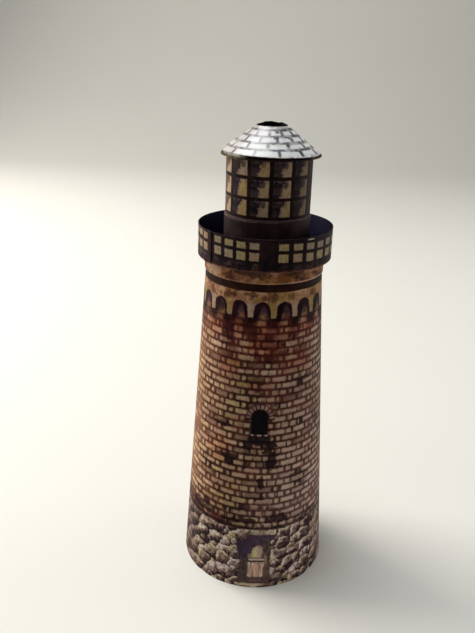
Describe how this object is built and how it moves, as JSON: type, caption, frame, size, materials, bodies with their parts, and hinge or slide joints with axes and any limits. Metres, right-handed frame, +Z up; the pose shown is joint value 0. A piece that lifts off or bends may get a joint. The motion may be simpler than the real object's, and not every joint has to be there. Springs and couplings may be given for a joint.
{
  "type": "card model lighthouse",
  "caption": "Table-top card model of a round tapering lighthouse tower with a gallery ring, a lantern tube and a low cone roof, printed as brick and rubble stone.",
  "frame": {"origin": "centre of the tower's round foot, at the level it stands on", "axes": "+Z up along the tower's axis; the printed door faces -Y; +X is to the right of someone looking at the door"},
  "size_m": [0.059, 0.059, 0.1799],
  "materials": {
    "brick_print": "matte print",
    "buff_print": "matte print",
    "gallery_print": "matte print",
    "lantern_print": "matte print",
    "shingle_print": "soft sheen print",
    "dark_card": "matte",
    "bare_card": "matte"
  },
  "bodies": {
    "root": {"tower_wall": "brick_print", "tower_lap": "bare_card", "tower_tabs": "bare_card", "cornice_band": "buff_print", "cornice_lap": "buff_print", "gallery_deck": "dark_card", "gallery_tabs": "dark_card", "gallery_ring": "gallery_print", "gallery_lap": "gallery_print", "lantern_wall": "lantern_print", "lantern_lap": "bare_card", "lantern_plinth": "dark_card", "lantern_foot_tabs": "bare_card", "lantern_head_tabs": "bare_card", "roof_soffit": "dark_card", "roof_cone": "shingle_print", "roof_lap": "shingle_print", "roof_tabs": "bare_card", "apex_collar": "dark_card"}
  },
  "joints": []
}
